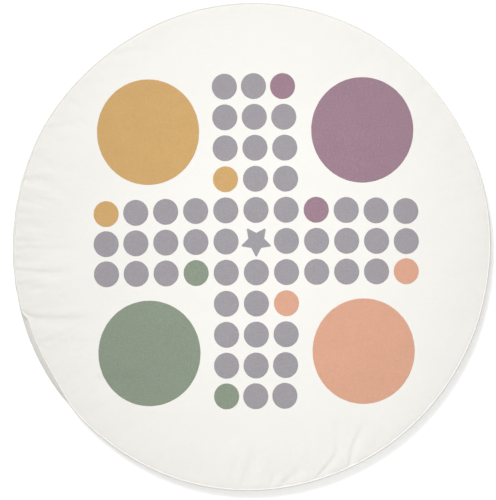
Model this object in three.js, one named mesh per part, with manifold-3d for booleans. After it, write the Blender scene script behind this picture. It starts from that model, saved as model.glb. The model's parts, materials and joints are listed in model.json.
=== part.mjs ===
// Round padded play mat with a cross-and-circle race game printed on its cover.
//
// A foam disc sits in a sewn cloth cover: a printed top panel, a bottom panel, a side band between
// two rows of self-fabric piping, and a zip let into the side band for taking the foam out.
// The printed shapes are thin films of ink on the top panel.
//
// Units are millimetres. +Z is up, the origin is the centre of the underside, +Y points away from a
// player who sees the star in the middle standing on its point, and +X is to that player's right.

import * as THREE from "three";
import { mergeVertices } from "three/addons/utils/BufferGeometryUtils.js";
import Module from "manifold-3d";

const wasm = await Module();
wasm.setup();

// ---------- driving dimensions ----------

const MAT_RADIUS = 550; // outside of the piping
const MAT_HEIGHT = 30; // underside to the face of the print
const RIM_FACETS = 120; // facets round every ring, so that nested rings have matching corners
const GAP = 0.3; // clearance between neighbouring pieces
const CLOTH = 1.0; // cotton canvas with its backing
const INK = 0.3; // thickness of the printed film

// Piping: a round cord in a strip of canvas whose flat flange is turned down inside the seam.
const CORD_RADIUS = 2.2;
const FLANGE_WIDTH = 8;
const FLANGE_THICKNESS = 0.8;
const PIPING_INSET = 2.4; // cord centre below the play surface, and above the underside
const BAND_TUCK = 0.2; // side band inside the edge of the panels
const BAND_SEAM = 0.03; // degrees left open where two lengths of band meet

// Zip: a fine coil zip along a quarter of the rim, on the far side.
const ZIP_OPEN_END = 39; // degrees, anticlockwise from +X
const ZIP_CLOSED_END = 126;
const ZIP_OPENING = 8.4; // height of the slot between the two strips of the band
const TAPE_WIDTH = 8.7;
const TAPE_THICKNESS = 0.6;
const COIL_WIDTH = 2.1; // one half of the closed coil
const COIL_DEPTH = 1.7;
const END_TAB_LENGTH = 14;
const STOP_LENGTH = 3;

// Slider: a face plate with a lip along each edge and a bridge that holds the pull tab.
const SLIDER_REST = 123.5; // degrees from +X: zip closed, slider next to the top stops
const SLIDER_LENGTH = 9;
const SLIDER_HEIGHT = 7.2;
const SLIDER_FACE = 1.0;
const LIP_DEPTH = 1.6; // how far a lip reaches in past the face plate
const LIP_THICKNESS = 0.8;
const BRIDGE_LENGTH = 5;
const BRIDGE_HEIGHT = 2.2;
const BRIDGE_LEG = 1.0;
const BRIDGE_BEAM = 0.7;
const BRIDGE_TOP_INSET = 0.2; // bridge inside the piping's outer radius, so it never scrapes

// Pull tab: a pin under the bridge, two arms past the sides of the bridge, and a plate.
const TAB_LENGTH = 26;
const TAB_THICKNESS = 1.0;
const TAB_ARM_LENGTH = 7;
const TAB_ARM_OVERLAP = 1; // how far an arm runs into the plate
const TAB_ARM_WIDTH = 1.2;
const TAB_SIDE_CLEARANCE = 0.4;
const TAB_TOP_CLEARANCE = 0.3;

// Print: eleven by eleven places on a square grid, of which a cross is used.
const GRID_PITCH = 69;
const DOT_RADIUS = 29;
const ARM_REACH = 5; // grid places from the centre to the end of an arm
const HOME_RADIUS = 118;
const HOME_OFFSET = 246; // of each home circle from the mat's centre, along X and along Y
const STAR_RADIUS = 37.5; // to the points, before they are rounded
const STAR_WAIST = 19; // to the inner corners
const STAR_ROUNDING = 2.2; // radius of the rounded points
const LINK_WIDTH = 1.5; // web that keeps neighbouring grey dots in one film
const LINK_OVERLAP = 3; // how far a web runs into the dot at each end
const TRACK_DOT_SIDES = 18;
const START_DOT_SIDES = 24;
const HOME_SIDES = 48;

// ---------- worked-out levels and radii ----------

const MID_HEIGHT = MAT_HEIGHT / 2;
const TOP_FACE = MAT_HEIGHT - INK;
const CORD_CENTRE = MAT_RADIUS - CORD_RADIUS;
const PANEL_RADIUS = CORD_CENTRE - CORD_RADIUS;
const BAND_OUTER = PANEL_RADIUS - BAND_TUCK;
const BAND_INNER = BAND_OUTER - CLOTH;
const BAND_BOTTOM = PIPING_INSET + CORD_RADIUS + GAP;
const BAND_TOP = MAT_HEIGHT - BAND_BOTTOM;
const SLOT_BOTTOM = MID_HEIGHT - ZIP_OPENING / 2;
const SLOT_TOP = MID_HEIGHT + ZIP_OPENING / 2;
const FLANGE_OUTER = BAND_INNER - GAP;
const FLANGE_INNER = FLANGE_OUTER - FLANGE_THICKNESS;
const TAPE_OUTER = FLANGE_INNER - GAP;
const TAPE_INNER = TAPE_OUTER - TAPE_THICKNESS;
const FOAM_RADIUS = TAPE_INNER - GAP;
const FOAM_CHAMFER = 3;
const COIL_INNER = TAPE_OUTER + GAP;
const COIL_OUTER = COIL_INNER + COIL_DEPTH;

// ---------- colours ----------

const CANVAS = { color: 0xf1efe9, roughness: 0.95, metalness: 0 };
const FOAM = { color: 0xe9e4d4, roughness: 1, metalness: 0 };
const ZIP_TAPE = { color: 0xece9e1, roughness: 0.85, metalness: 0 };
const ZIP_NYLON = { color: 0xe6e2d8, roughness: 0.45, metalness: 0 };
const ZIP_METAL = { color: 0xb9bbbd, roughness: 0.3, metalness: 1 };
const GREY_INK = { color: 0xa9a5a8, roughness: 0.9, metalness: 0 };

// The four players in clockwise order from the upper left.
const PLAYERS = [
  { name: "mustard", ink: { color: 0xd4ac73, roughness: 0.9, metalness: 0 } },
  { name: "plum", ink: { color: 0xa08492, roughness: 0.9, metalness: 0 } },
  { name: "peach", ink: { color: 0xdfaa90, roughness: 0.9, metalness: 0 } },
  { name: "sage", ink: { color: 0x8e9887, roughness: 0.9, metalness: 0 } },
];

// Places of the first player, in grid steps. Each next player has them a quarter turn clockwise.
const FIRST_HOME = [-1, 1];
const FIRST_OUTER_START = [-5, 1];
const FIRST_INNER_START = [-1, 2];

// ---------- geometry helpers ----------

const radians = THREE.MathUtils.degToRad;

function onCircle(radius, degrees) {
  const angle = radians(degrees);
  return new THREE.Vector2(radius * Math.cos(angle), radius * Math.sin(angle));
}

// Angles of an arc's corners: its two ends and every facet corner of the rim between them.
function arcAngles(from, to) {
  const step = 360 / RIM_FACETS;
  const angles = [from];
  for (let angle = (Math.floor(from / step) + 1) * step; angle < to; angle += step) {
    angles.push(angle);
  }
  angles.push(to);
  return angles;
}

function extrudeUp(outline, bottom, top) {
  const shape = new THREE.Shape(outline);
  const geometry = new THREE.ExtrudeGeometry(shape, { depth: top - bottom, bevelEnabled: false });
  return geometry.translate(0, 0, bottom);
}

// A round plate whose corners sit at multiples of 360 / sides degrees.
function plate(radius, sides, bottom, top) {
  const outline = [];
  for (let i = 0; i < sides; i += 1) {
    outline.push(onCircle(radius, (i * 360) / sides));
  }
  return extrudeUp(outline, bottom, top);
}

// A strip that stands on edge and follows the rim from one angle to another.
function rimStrip(inner, outer, from, to, bottom, top) {
  const angles = arcAngles(from, to);
  const outside = angles.map((angle) => onCircle(outer, angle));
  const inside = angles.map((angle) => onCircle(inner, angle)).reverse();
  return extrudeUp([...outside, ...inside], bottom, top);
}

// A ring from a closed profile of (radius, height) points.
function ring(profile) {
  const points = profile.map(([radius, height]) => new THREE.Vector2(radius, height));
  points.push(points[0].clone());
  return new THREE.LatheGeometry(points, RIM_FACETS).rotateX(Math.PI / 2);
}

// A box given by its lowest and highest x, y and z.
function block(xs, ys, zs) {
  const outline = [
    new THREE.Vector2(xs[0], ys[0]),
    new THREE.Vector2(xs[1], ys[0]),
    new THREE.Vector2(xs[1], ys[1]),
    new THREE.Vector2(xs[0], ys[1]),
  ];
  return extrudeUp(outline, zs[0], zs[1]);
}

// The stretch from near to far on one side of the middle, lowest value first.
function onSide(sign, near, far, middle = 0) {
  return [middle + sign * near, middle + sign * far].sort((a, b) => a - b);
}

function toSolid(geometry) {
  const bare = geometry.clone();
  bare.deleteAttribute("normal");
  bare.deleteAttribute("uv");
  const merged = mergeVertices(bare, 1e-4);
  return new wasm.Manifold(
    new wasm.Mesh({
      numProp: 3,
      vertProperties: merged.attributes.position.array,
      triVerts: new Uint32Array(merged.index.array),
    }),
  );
}

function toGeometry(solid) {
  const mesh = solid.getMesh();
  const geometry = new THREE.BufferGeometry();
  geometry.setAttribute("position", new THREE.BufferAttribute(mesh.vertProperties, 3));
  geometry.setIndex(new THREE.BufferAttribute(mesh.triVerts, 1));
  geometry.computeVertexNormals();
  return geometry;
}

function join(geometries) {
  const solids = geometries.map(toSolid);
  return toGeometry(solids.reduce((whole, piece) => whole.add(piece)));
}

function named(name, geometry, finish) {
  const mesh = new THREE.Mesh(geometry, new THREE.MeshStandardMaterial(finish));
  mesh.name = name;
  return mesh;
}

// ---------- filling and cloth cover ----------

function foamCore() {
  const bottom = CLOTH + GAP;
  const top = TOP_FACE - CLOTH - GAP;
  const profile = [
    new THREE.Vector2(0, bottom),
    new THREE.Vector2(FOAM_RADIUS - FOAM_CHAMFER, bottom),
    new THREE.Vector2(FOAM_RADIUS, bottom + FOAM_CHAMFER),
    new THREE.Vector2(FOAM_RADIUS, top - FOAM_CHAMFER),
    new THREE.Vector2(FOAM_RADIUS - FOAM_CHAMFER, top),
    new THREE.Vector2(0, top),
  ];
  return new THREE.LatheGeometry(profile, RIM_FACETS).rotateX(Math.PI / 2);
}

function coverPanels() {
  const panels = new THREE.Group();
  const top = plate(PANEL_RADIUS, RIM_FACETS, TOP_FACE - CLOTH, TOP_FACE);
  const bottom = plate(PANEL_RADIUS, RIM_FACETS, 0, CLOTH);
  panels.add(named("top_panel", top, CANVAS));
  panels.add(named("bottom_panel", bottom, CANVAS));
  return panels;
}

// The piping's profile for the top seam: three quarters of a cord, then its neck and flange.
function pipingProfile() {
  const cordHeight = MAT_HEIGHT - PIPING_INSET;
  const neckTop = TOP_FACE - CLOTH - GAP;
  const neckBottom = neckTop - FLANGE_THICKNESS;
  const points = [];
  for (let angle = -135; angle <= 135; angle += 45) {
    const corner = onCircle(CORD_RADIUS, angle);
    points.push([CORD_CENTRE + corner.x, cordHeight + corner.y]);
  }
  points.push([PANEL_RADIUS + GAP, neckTop]);
  points.push([FLANGE_INNER, neckTop]);
  points.push([FLANGE_INNER, neckTop - FLANGE_WIDTH]);
  points.push([FLANGE_OUTER, neckTop - FLANGE_WIDTH]);
  points.push([FLANGE_OUTER, neckBottom]);
  return points;
}

function piping() {
  const pair = new THREE.Group();
  const upper = pipingProfile();
  const lower = upper.map(([radius, height]) => [radius, MAT_HEIGHT - height]).reverse();
  pair.add(named("top_piping", ring(upper), CANVAS));
  pair.add(named("bottom_piping", ring(lower), CANVAS));
  return pair;
}

function sideBand() {
  const band = new THREE.Group();
  const plain = rimStrip(
    BAND_INNER, BAND_OUTER, ZIP_CLOSED_END + BAND_SEAM, ZIP_OPEN_END + 360 - BAND_SEAM,
    BAND_BOTTOM, BAND_TOP,
  );
  const overZip = rimStrip(
    BAND_INNER, BAND_OUTER, ZIP_OPEN_END, ZIP_CLOSED_END, SLOT_TOP, BAND_TOP,
  );
  const underZip = rimStrip(
    BAND_INNER, BAND_OUTER, ZIP_OPEN_END, ZIP_CLOSED_END, BAND_BOTTOM, SLOT_BOTTOM,
  );
  band.add(named("side_band_plain", plain, CANVAS));
  band.add(named("side_band_over_zip", overZip, CANVAS));
  band.add(named("side_band_under_zip", underZip, CANVAS));
  return band;
}

// ---------- zip ----------

// Degrees of rim that a length covers at the coil.
function rimDegrees(length) {
  return THREE.MathUtils.radToDeg(length / COIL_OUTER);
}

function zipTapesAndCoil() {
  const zip = new THREE.Group();
  const halfGap = GAP / 2;
  const endTab = rimDegrees(END_TAB_LENGTH);
  const stop = rimDegrees(STOP_LENGTH);
  const gap = rimDegrees(GAP);
  const coilFrom = ZIP_OPEN_END + endTab + stop + 2 * gap;
  const coilTo = ZIP_CLOSED_END - endTab - stop - 2 * gap;

  for (const [side, sign] of [["upper", 1], ["lower", -1]]) {
    const tapeLevels = onSide(sign, halfGap, halfGap + TAPE_WIDTH, MID_HEIGHT);
    const coilLevels = onSide(sign, halfGap, halfGap + COIL_WIDTH, MID_HEIGHT);
    const tape = rimStrip(TAPE_INNER, TAPE_OUTER, ZIP_OPEN_END, ZIP_CLOSED_END, ...tapeLevels);
    const coil = rimStrip(COIL_INNER, COIL_OUTER, coilFrom, coilTo, ...coilLevels);
    const topStop = rimStrip(
      COIL_INNER, COIL_OUTER + GAP, coilTo + gap, coilTo + gap + stop, ...coilLevels,
    );
    zip.add(named(`zip_tape_${side}`, tape, ZIP_TAPE));
    zip.add(named(`zip_coil_${side}`, coil, ZIP_NYLON));
    zip.add(named(`zip_top_stop_${side}`, topStop, ZIP_METAL));
  }

  const bottomStop = rimStrip(
    COIL_INNER, COIL_OUTER + GAP, coilFrom - gap - stop, coilFrom - gap,
    MID_HEIGHT - COIL_WIDTH - halfGap, MID_HEIGHT + COIL_WIDTH + halfGap,
  );
  zip.add(named("zip_bottom_stop", bottomStop, ZIP_METAL));

  // Folded squares of canvas close the slot beyond the stops.
  const tabLevels = [SLOT_BOTTOM + GAP, SLOT_TOP - GAP];
  const openEnd = rimStrip(
    BAND_INNER, BAND_OUTER, ZIP_OPEN_END, ZIP_OPEN_END + endTab, ...tabLevels,
  );
  const closedEnd = rimStrip(
    BAND_INNER, BAND_OUTER, ZIP_CLOSED_END - endTab, ZIP_CLOSED_END, ...tabLevels,
  );
  zip.add(named("zip_end_tab_open_end", openEnd, CANVAS));
  zip.add(named("zip_end_tab_closed_end", closedEnd, CANVAS));
  return zip;
}

// The slider and its pull tab share a frame in which +Y points outwards through the slider and +X
// runs along the rim over the coil that the slider has closed.
const FACE_INNER = COIL_OUTER + GAP;
const FACE_OUTER = FACE_INNER + SLIDER_FACE;
const BRIDGE_TOP = MAT_RADIUS - BRIDGE_TOP_INSET;
const BRIDGE_UNDER = BRIDGE_TOP - BRIDGE_BEAM;

function slider() {
  const alongSlider = [-SLIDER_LENGTH / 2, SLIDER_LENGTH / 2];
  const alongBridge = [-BRIDGE_LENGTH / 2, BRIDGE_LENGTH / 2];
  const faceLevels = onSide(1, -SLIDER_HEIGHT / 2, SLIDER_HEIGHT / 2, MID_HEIGHT);
  const bridgeLevels = onSide(1, -BRIDGE_HEIGHT / 2, BRIDGE_HEIGHT / 2, MID_HEIGHT);
  const lipOutwards = [FACE_INNER - LIP_DEPTH, FACE_INNER + SLIDER_FACE / 2];
  const legOutwards = [FACE_OUTER - SLIDER_FACE / 2, BRIDGE_TOP];
  const pieces = [
    block(alongSlider, [FACE_INNER, FACE_OUTER], faceLevels),
    block(alongBridge, [BRIDGE_UNDER, BRIDGE_TOP], bridgeLevels),
  ];
  for (const sign of [1, -1]) {
    const lipLevels = onSide(
      sign, SLIDER_HEIGHT / 2 - LIP_THICKNESS, SLIDER_HEIGHT / 2, MID_HEIGHT,
    );
    const alongLeg = onSide(sign, BRIDGE_LENGTH / 2 - BRIDGE_LEG, BRIDGE_LENGTH / 2);
    pieces.push(block(alongSlider, lipOutwards, lipLevels));
    pieces.push(block(alongLeg, legOutwards, bridgeLevels));
  }
  return join(pieces);
}

function pullTab() {
  const outwards = [
    BRIDGE_UNDER - TAB_TOP_CLEARANCE - TAB_THICKNESS,
    BRIDGE_UNDER - TAB_TOP_CLEARANCE,
  ];
  const armNear = BRIDGE_HEIGHT / 2 + TAB_SIDE_CLEARANCE;
  const armFar = armNear + TAB_ARM_WIDTH;
  const fullLevels = onSide(1, -armFar, armFar, MID_HEIGHT);
  const pieces = [
    block([-TAB_THICKNESS / 2, TAB_THICKNESS / 2], outwards, fullLevels),
    block([TAB_ARM_LENGTH, TAB_LENGTH], outwards, fullLevels),
  ];
  for (const sign of [1, -1]) {
    const levels = onSide(sign, armNear, armFar, MID_HEIGHT);
    pieces.push(block([-TAB_THICKNESS / 2, TAB_ARM_LENGTH + TAB_ARM_OVERLAP], outwards, levels));
  }
  return join(pieces);
}

function sliderAndPullTab() {
  const group = new THREE.Group();
  group.add(named("zip_slider", slider(), ZIP_METAL));
  group.add(named("zip_pull_tab", pullTab(), ZIP_METAL));
  group.rotation.z = radians(SLIDER_REST - 90);
  return group;
}

// ---------- print ----------

// A grid place turned clockwise by a number of quarter turns.
function turned([column, row], quarterTurns) {
  return quarterTurns === 0 ? [column, row] : turned([row, -column], quarterTurns - 1);
}

// The track is three places wide along both axes, without the place that the star takes.
function isOnTrack(column, row) {
  const reach = Math.max(Math.abs(column), Math.abs(row));
  const offAxis = Math.min(Math.abs(column), Math.abs(row));
  return reach >= 1 && reach <= ARM_REACH && offAxis <= 1;
}

function startPlaces() {
  const places = new Set();
  PLAYERS.forEach((player, index) => {
    places.add(String(turned(FIRST_OUTER_START, index)));
    places.add(String(turned(FIRST_INNER_START, index)));
  });
  return places;
}

function inkDot(column, row, sides) {
  const dot = plate(DOT_RADIUS, sides, TOP_FACE, MAT_HEIGHT);
  return dot.translate(column * GRID_PITCH, row * GRID_PITCH, 0);
}

// The web between a grey dot and the next one, to the right of it or above it.
function inkLink(column, row, toRight) {
  const reach = GRID_PITCH / 2 - DOT_RADIUS + LINK_OVERLAP;
  const half = LINK_WIDTH / 2;
  const along = toRight ? [reach, half] : [half, reach];
  const link = block([-along[0], along[0]], [-along[1], along[1]], [TOP_FACE, MAT_HEIGHT]);
  const shift = toRight ? [0.5, 0] : [0, 0.5];
  return link.translate((column + shift[0]) * GRID_PITCH, (row + shift[1]) * GRID_PITCH, 0);
}

// The two outer lanes of an arm have no webs along them: webs across the arm hold their dots.
function isOuterLane(lane, from) {
  return Math.abs(lane) === 1 && (from < -1 || from > 0);
}

function greyTrack() {
  const starts = startPlaces();
  const isGrey = (column, row) => isOnTrack(column, row) && !starts.has(String([column, row]));
  const pieces = [];
  for (let row = -ARM_REACH; row <= ARM_REACH; row += 1) {
    for (let column = -ARM_REACH; column <= ARM_REACH; column += 1) {
      if (!isGrey(column, row)) continue;
      pieces.push(inkDot(column, row, TRACK_DOT_SIDES));
      if (isGrey(column + 1, row) && !isOuterLane(row, column)) {
        pieces.push(inkLink(column, row, true));
      }
      if (isGrey(column, row + 1) && !isOuterLane(column, row)) {
        pieces.push(inkLink(column, row, false));
      }
    }
  }
  return join(pieces);
}

// Each point is rounded by an arc about a centre on its own axis, drawn with five corners.
function star() {
  const cornerStep = 36;
  const inner = onCircle(STAR_WAIST, cornerStep);
  const halfAngle = Math.atan2(inner.y, STAR_RADIUS - inner.x);
  const arcCentre = STAR_RADIUS - STAR_ROUNDING / Math.sin(halfAngle);
  const sweep = 90 - THREE.MathUtils.radToDeg(halfAngle);
  const outline = [];
  for (let point = 0; point < 5; point += 1) {
    const direction = -90 + point * 2 * cornerStep;
    const centre = onCircle(arcCentre, direction);
    for (let share = -1; share <= 1; share += 0.5) {
      outline.push(onCircle(STAR_ROUNDING, direction + share * sweep).add(centre));
    }
    outline.push(onCircle(STAR_WAIST, direction + cornerStep));
  }
  return extrudeUp(outline, TOP_FACE, MAT_HEIGHT);
}

function print() {
  const inks = new THREE.Group();
  inks.add(named("print_track", greyTrack(), GREY_INK));
  inks.add(named("print_star", star(), GREY_INK));
  PLAYERS.forEach(({ name, ink }, index) => {
    const [homeX, homeY] = turned(FIRST_HOME, index);
    const home = plate(HOME_RADIUS, HOME_SIDES, TOP_FACE, MAT_HEIGHT);
    home.translate(homeX * HOME_OFFSET, homeY * HOME_OFFSET, 0);
    const outerStart = inkDot(...turned(FIRST_OUTER_START, index), START_DOT_SIDES);
    const innerStart = inkDot(...turned(FIRST_INNER_START, index), START_DOT_SIDES);
    inks.add(named(`print_home_${name}`, home, ink));
    inks.add(named(`print_outer_start_${name}`, outerStart, ink));
    inks.add(named(`print_inner_start_${name}`, innerStart, ink));
  });
  return inks;
}

// ---------- the whole mat ----------

const mat = new THREE.Group();
mat.add(named("foam_core", foamCore(), FOAM));
mat.add(coverPanels());
mat.add(piping());
mat.add(sideBand());
mat.add(zipTapesAndCoil());
mat.add(sliderAndPullTab());
mat.add(print());

export default mat;
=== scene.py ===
"""A round padded play mat with a printed race game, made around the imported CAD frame.

Shapes are worked out in millimetres and turned into metres when their mesh is made. The mat lies on the
floor with the middle of its underside at the origin: +Z is up and +Y is the far side, where the zip is.
Angles run anticlockwise from +X. They are in radians, except where a name ends in _deg.
"""

import json
import math

import bmesh
import bpy
import numpy as np
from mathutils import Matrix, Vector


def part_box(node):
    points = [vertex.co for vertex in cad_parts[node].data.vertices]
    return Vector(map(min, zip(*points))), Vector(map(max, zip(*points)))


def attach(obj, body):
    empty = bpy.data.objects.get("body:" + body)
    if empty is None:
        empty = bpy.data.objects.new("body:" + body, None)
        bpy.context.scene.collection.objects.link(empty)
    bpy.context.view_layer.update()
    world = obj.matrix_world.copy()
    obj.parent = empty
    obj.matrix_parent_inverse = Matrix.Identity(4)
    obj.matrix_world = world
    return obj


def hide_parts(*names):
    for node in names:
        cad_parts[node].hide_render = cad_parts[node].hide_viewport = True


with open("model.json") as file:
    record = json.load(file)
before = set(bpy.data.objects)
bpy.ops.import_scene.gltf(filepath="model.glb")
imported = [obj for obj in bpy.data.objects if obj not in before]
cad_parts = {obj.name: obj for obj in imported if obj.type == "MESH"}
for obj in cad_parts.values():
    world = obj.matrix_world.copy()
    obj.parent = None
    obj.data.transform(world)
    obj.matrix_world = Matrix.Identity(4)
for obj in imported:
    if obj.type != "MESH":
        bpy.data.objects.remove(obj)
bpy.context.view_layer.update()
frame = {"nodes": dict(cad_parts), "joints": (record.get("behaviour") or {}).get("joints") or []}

MM = 0.001
TURN = 2 * math.pi
SEED = 7

# ---------- driving sizes, in millimetres ----------

CLOTH = 1.0  # thickness of the canvas
CORD_RADIUS = 2.2  # piping
FLOOR_GAP = 0.05  # under the mat

# The cover isn't a true circle: it has been pulled a little long. (order, height of the wave, its peak_deg)
OUTLINE_RADIUS = 550.3
OUTLINE_WAVES = (
    (1, 0.81, -9.9), (2, 5.43, 78.2), (3, 0.17, 38.0), (4, 0.53, -10.4),
    (5, 0.27, 6.6), (6, 0.25, 23.9), (7, 0.5, 1),
)

# How far the upper seam sits in from the outline, and where it has slipped further in:
# (first_deg, last_deg, degrees it rises over, degrees it falls over, how much further in).
SEAM_INSET = 2.2
SEAM_SLIPS = ((195.9, 226, 2.5, 15, 11.5), (150, 198.4, 14, 2.5, 3.2), (338, 425, 14, 20, 1.8))
BAND_TUCK_SPAN = (217, 334, 8, 20)  # where the band goes in under the piping, in the same terms
BAND_TUCK = 3.2

SEAM_LEVEL = 27.2  # where the top cloth goes into the seam
EDGE_RISE = 1.2  # from the seam up to the flat of the mat
EDGE_ROLL = 3.5  # how far in that rise has mostly happened
CROWN = 3.0  # further rise to the middle
LOWER_SEAM_LEVEL = 2.6
LOWER_SEAM_INSET = 3.4
TOP_CORD_LEVEL = SEAM_LEVEL - 0.4
PANEL_INSET = 1.2  # rim of the top and bottom cloths inside their seams

# The side band's face runs from BAND_TOP to BAND_BOTTOM, and its edges sit BAND_INSET inside the seams.
BAND_INSET = 0.4
BAND_TOP = TOP_CORD_LEVEL - 1.9
BAND_BOTTOM = LOWER_SEAM_LEVEL + 1.9
BULGE_BY_ZIP = 0.08  # how much of its bulge the plain band keeps beside the ends of the zip

FOAM_INSET = 7.5  # inside the upper seam
FOAM_GAP = 0.6  # below the top cloth
FOAM_EDGE = 9.0  # how far in the foam's broken edges reach
FOAM_DROP = 0.45 * FOAM_EDGE  # how far up or down they reach

# Print: places on a square grid, eleven by eleven, that the cloth pulls a little out of square.
PRINT_MIDDLE = (11.7, 12.1)
PRINT_PITCH = (68.65, 70.93)
PRINT_SKEW = (-0.53, 0.706)
PRINT_BOW = (-0.15, -0.133)
PRINT_TAPER = (0.0175, 0.1)  # how much the pitch shrinks with the square of the places along and across
HOME_MIDDLE = (10.8, 11.07)
HOME_PITCH = (68.24, 70.5)
HOME_SKEW = (-0.45, 0.737)
HOME_PLACE = 3.567  # grid places from the middle to a home circle
HOME_RADIUS = 1.7  # in grid places
DOT_RADIUS = 0.418  # in grid places
ARM_REACH = 5
STAR_RADIUS = 37.5
STAR_WAIST = 19.0
STAR_ROUNDING = 2.2
INK_PROUD = 0.15
INK_DEPTH = 0.4

# Which places of the cross are a colour's start, as (column, row), and where its home circle is.
GAME_COLOURS = {
    "mustard": {"home": (-1, 1), "outer": (-5, 1), "inner": (-1, 2)},
    "plum": {"home": (1, 1), "outer": (1, 5), "inner": (2, 1)},
    "peach": {"home": (1, -1), "outer": (5, -1), "inner": (1, -2)},
    "sage": {"home": (-1, -1), "outer": (-1, -5), "inner": (-2, -1)},
}

# Creases in the top cloth: ((angle_deg, radius), ...) from the rim inwards, depth, half width.
CREASE_DEPTH = 0.95  # all of their depths are multiplied by this
CREASES = (
    (((127.7, 541), (122.4, 526), (117.8, 507), (109.8, 470)), 0.70, 6),
    (((135.8, 536), (132.7, 506), (124.9, 470)), 0.50, 7),
    (((142.4, 536), (140.0, 504)), 0.45, 6),
    (((149.9, 540), (145.8, 492), (139.7, 465)), 0.55, 7),
    (((153.4, 520), (150.5, 473)), 0.28, 7),
    (((156.5, 538), (154.4, 497)), 0.35, 6),
    (((163.5, 540), (162.3, 500), (160.5, 450)), 0.85, 8),
    (((167.8, 536), (165.3, 454)), 0.35, 8),
    (((171.8, 536), (171.4, 490)), 0.45, 6),
    (((175.0, 540), (174.5, 487), (173.4, 403)), 0.55, 10),
    (((180.6, 535), (180.9, 459), (180.2, 398), (179.1, 360)), 0.75, 8),
    (((182.8, 543), (182.9, 505)), 0.70, 5),
    (((185.6, 541), (186.9, 483), (187.9, 441), (188.0, 400)), 0.85, 6),
    (((189.2, 541), (189.5, 495)), 0.60, 5),
    (((191.9, 541), (192.4, 505)), 0.50, 5),
    (((196.0, 547), (198.6, 516), (200.9, 467), (203.7, 410), (204.9, 356)), 1.7, 9),
    (((204.6, 538), (207.9, 508)), 0.45, 3),
    (((204.7, 490), (207.9, 425)), 0.30, 10),
    (((220.5, 462), (223.5, 440), (229.5, 390), (237.0, 342)), 0.90, 11),
    (((268.0, 540), (269.5, 499), (273.0, 454)), 0.85, 8),
    (((274.9, 541), (276.6, 505)), 0.75, 5),
    (((277.5, 545), (282.0, 520), (285.5, 500)), 1.0, 9),
    (((278.9, 520), (281.1, 478)), 0.35, 7),
    (((285.5, 549), (289.1, 528), (292.7, 506), (294.6, 455), (295.4, 418)), 1.2, 5),
    (((294.0, 549), (297.2, 510), (300.8, 488), (305.2, 460)), 1.3, 5.5),
    (((301.4, 538), (306.1, 500)), 0.30, 6),
    (((314.7, 534), (313.3, 515)), 0.45, 5),
    (((109.1, 453), (107.4, 396), (106.4, 331), (105.5, 240)), 0.10, 4),
    (((287.9, 500), (287.4, 439), (288.0, 367), (288.5, 280)), 0.14, 4),
)

# The cloth laps towards LEAN, so a crease's side there is steep and its other side is GENTLER.
LEAN = (math.cos(math.radians(118)), math.sin(math.radians(118)))
GENTLER = 1.3

# Where the cover is slack enough to gather into the seam: (middle_deg, half width_deg, how much, 0 to 1).
SLACK = ((180, 26, 1.0), (285, 26, 0.75), (140, 22, 0.35), (235, 30, 0.25), (20, 60, 0.12))

# The cloth simulation: a ring of cloth on a coarse grid, from the seam in to a share of its radius.
SWELL_RINGS = 26
SWELL_SPOKES = 288
SWELL_FRAMES = 20
SWELL_CAP = 0.9  # how far a point may move
SWELL_START = 0.7
SWELL_SETTINGS = {
    "vertex_group_mass": "held",
    "quality": 6,
    "mass": 0.3,
    "tension_stiffness": 15,
    "compression_stiffness": 15,
    "bending_stiffness": 0.4,
    "shrink_min": -0.012,
    "use_pressure": True,
    "uniform_pressure_force": 4,
}

# Zip: its middle height, the folded edges of the band beside it, and its small parts.
MID_HEIGHT = 15.0
LIP_RADIUS = 546.4
LIP_TURN = 2.4  # how far a folded edge goes in behind itself
SLOT_CLEARANCE = 0.3
STITCH_PITCH = 3.2
STITCH_LENGTH = 2.5
STITCH_RISE = 0.28
COIL_PITCH = 1.6
COIL_WIRE = 0.34
COIL_STEPS = 9  # points to a turn


# ---------- where the frame says things are ----------


def cad_points(node):
    """Corners of a CAD node, in millimetres."""
    return np.array([v.co for v in frame["nodes"][node].data.vertices]) / MM


class Span:
    """The radii, heights and angles that a CAD node on the rim lies between, and its size along the rim."""

    def __init__(self, node):
        points = cad_points(node)
        radii = np.hypot(points[:, 0], points[:, 1])
        angles = np.arctan2(points[:, 1], points[:, 0])
        middle = math.atan2(np.sin(angles).mean(), np.cos(angles).mean())
        turned = (angles - middle + np.pi) % TURN - np.pi
        self.inner, self.outer = radii.min(), radii.max()
        self.low, self.high = points[:, 2].min(), points[:, 2].max()
        self.first, self.last = middle + turned.min(), middle + turned.max()
        self.radius = (self.inner + self.outer) / 2
        self.level = (self.low + self.high) / 2
        self.angle = (self.first + self.last) / 2
        self.size = ((self.last - self.first) * self.radius, self.outer - self.inner, self.high - self.low)


OPENING = Span("side_band_over_zip")
OPENING_LENGTH = (OPENING.last - OPENING.first) * OUTLINE_RADIUS
SLOT_LOW = Span("side_band_under_zip").high
PIN = next(j for j in frame["joints"] if j["child"] == "pull_tab")["pos_m"]
PIN_RADIUS = math.hypot(PIN[0], PIN[1]) / MM
SLIDER_ANGLE = math.atan2(PIN[1], PIN[0])
SLIDER_AXES = np.array([
    (math.sin(SLIDER_ANGLE), -math.cos(SLIDER_ANGLE), 0),  # clockwise along the rim
    (math.cos(SLIDER_ANGLE), math.sin(SLIDER_ANGLE), 0),  # outwards
    (0, 0, 1),
])


# ---------- the shape of the cover ----------


def smooth(x):
    """0 below 0, 1 above 1, and a smooth step between."""
    x = np.clip(x, 0, 1)
    return x * x * (3 - 2 * x)


def fading(inset, reach):
    """1 at a seam, falling off exponentially inside it."""
    return np.exp(-np.maximum(inset, 0) / reach)


def bell(x, middle, width):
    """1 at middle, falling off smoothly over a width each way."""
    return np.exp(-(((x - middle) / width) ** 2))


def turns(count):
    """That many angles, evenly spaced all the way round."""
    return np.arange(count) * TURN / count


def signed_power(x, power):
    return np.sign(x) * np.abs(x) ** power


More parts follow.
